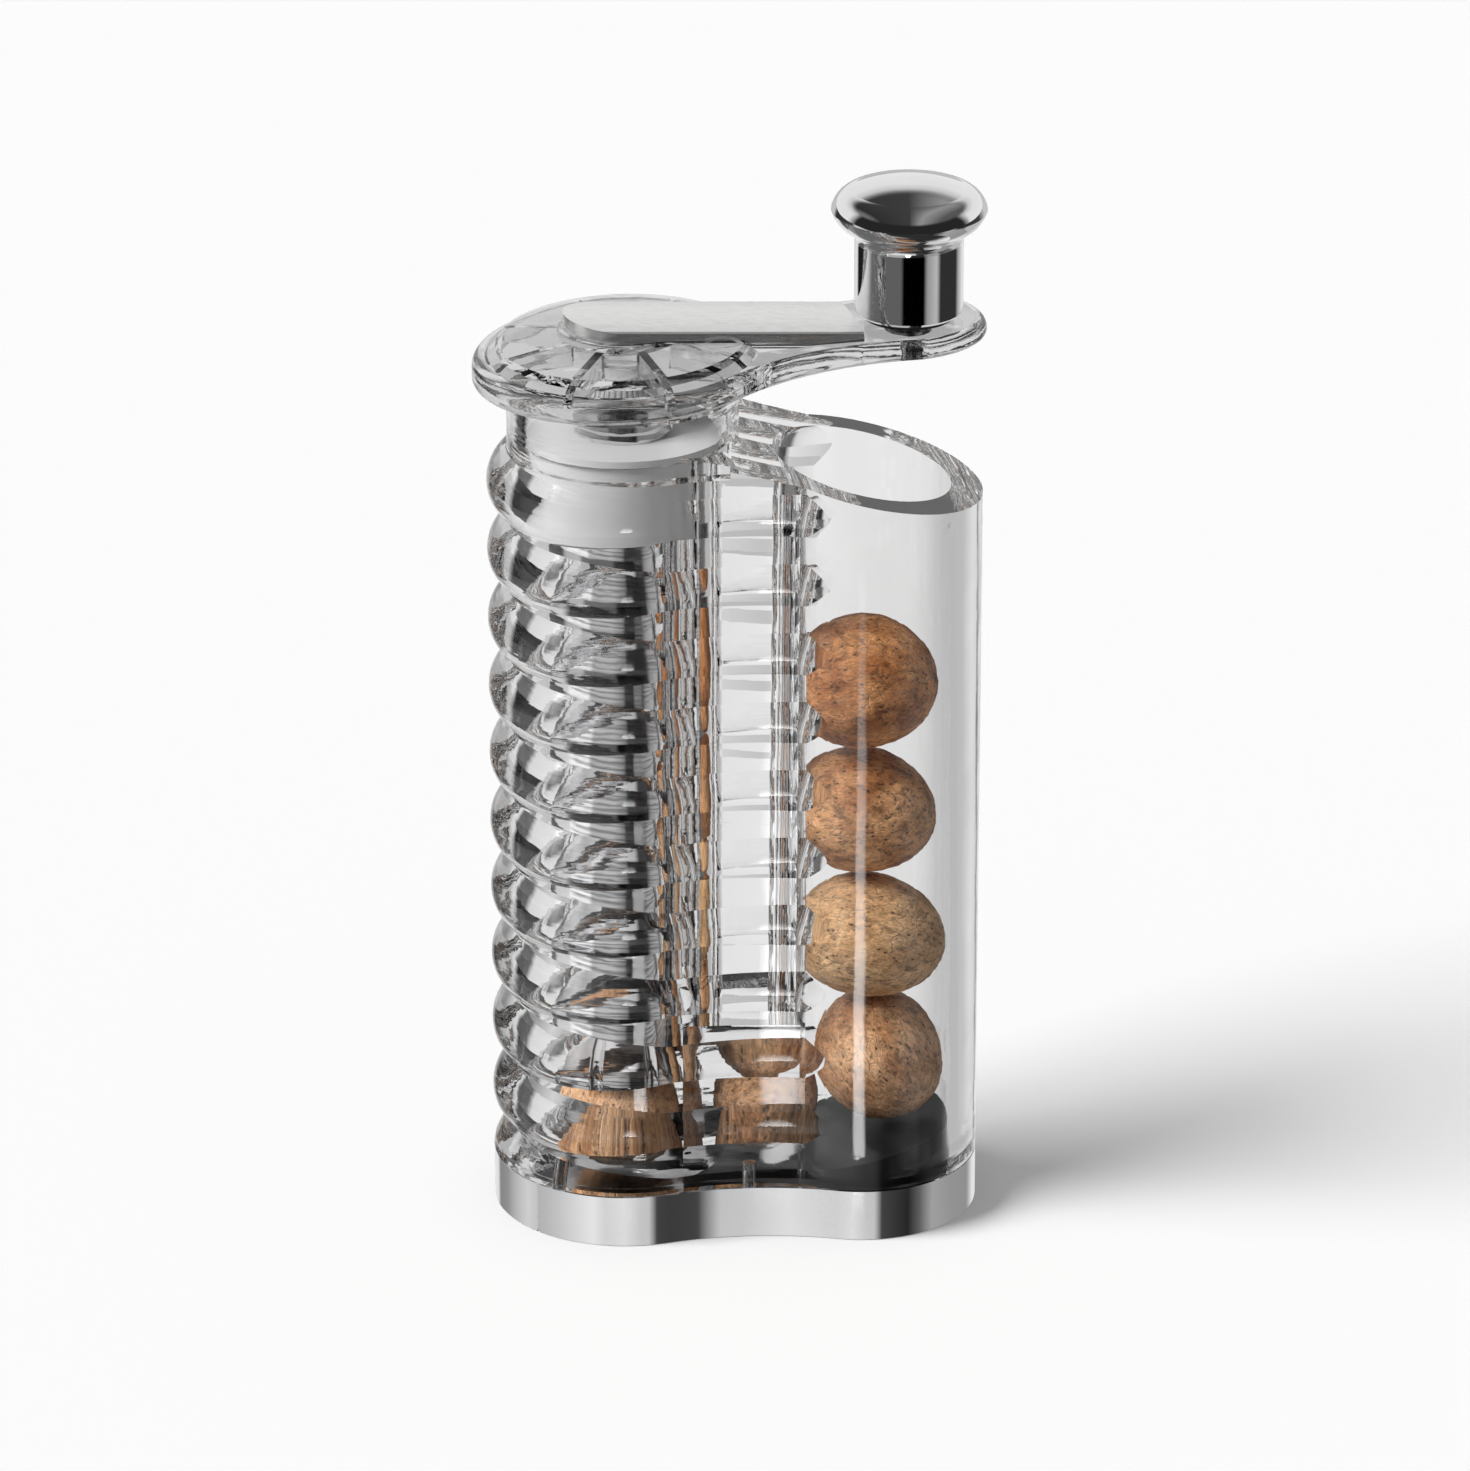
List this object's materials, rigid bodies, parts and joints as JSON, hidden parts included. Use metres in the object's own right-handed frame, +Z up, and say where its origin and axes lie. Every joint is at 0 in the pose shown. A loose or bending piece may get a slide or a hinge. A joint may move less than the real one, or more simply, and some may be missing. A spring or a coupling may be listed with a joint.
{
  "type": "nutmeg grater",
  "caption": "Hand-cranked nutmeg grater: clear ribbed mill column beside a clear store column of nutmegs, low chrome base cap, clear crank with a chrome knob.",
  "frame": {"origin": "on the crank's axis, in the plane that the base cap stands on", "axes": "+Z up along the crank's axis, +X from the mill column to the store column, +Y to the back"},
  "size_m": [0.0706, 0.0417, 0.1482],
  "materials": {
    "clear_acrylic": "gloss",
    "chrome": "polished",
    "steel": "satin",
    "satin_silver": "satin",
    "polished_steel": "polished",
    "blade_steel": "satin",
    "insert_metal": "satin",
    "dark_washer": "matte",
    "black_plastic": "satin",
    "holder_plastic": "satin",
    "milky_plastic": "satin",
    "sleeve_plastic": "satin",
    "nutmeg": "matte"
  },
  "bodies": {
    "mill_body": {"body_shell": "clear_acrylic", "top_bush": "milky_plastic", "bush_washer": "polished_steel", "bottom_plate": "black_plastic", "plate_screws": "steel", "feed_ramp": "black_plastic", "blade_disc": "blade_steel", "feed_spring": "steel", "nutmeg_feed": "nutmeg", "nutmeg_store_1": "nutmeg", "nutmeg_store_2": "nutmeg", "nutmeg_store_3": "nutmeg", "nutmeg_store_4": "nutmeg"},
    "lift_carriage": {"spring_seat": "holder_plastic", "stop_washer": "polished_steel"},
    "crank": {"crank_arm": "clear_acrylic", "arm_bar": "satin_silver", "hub_insert": "insert_metal", "spindle": "steel", "retaining_clip": "steel", "nutmeg_holder": "polished_steel", "plunger_tube": "polished_steel", "holder_prongs": "steel", "holder_screw": "steel", "nutmeg_milled": "nutmeg", "knob_pin": "steel", "knob_pin_clip": "steel", "knob_washer": "dark_washer"},
    "crank_knob": {"knob": "chrome", "knob_sleeve": "sleeve_plastic"},
    "base_cap": {"base_cap": "chrome"}
  },
  "joints": [
    {"name": "crank_lift", "type": "slide", "parent": "mill_body", "child": "lift_carriage", "axis": [0, 0, 1], "range_m": [0, 0.0095], "stiffness_N_per_m": 300, "springref_m": -0.02, "deforming": ["feed_spring"]},
    {"name": "crank_spin", "type": "hinge", "parent": "lift_carriage", "child": "crank", "pos_m": [0, 0, 0.12], "axis": [0, 0, 1], "continuous": true},
    {"name": "knob_spin", "type": "hinge", "parent": "crank", "child": "crank_knob", "pos_m": [0.03916, 0.01035, 0.135], "axis": [0, 0, 1], "continuous": true},
    {"name": "base_cap_pull", "type": "slide", "parent": "mill_body", "child": "base_cap", "axis": [0, 0, -1], "range_m": [0, 0.012]}
  ]
}
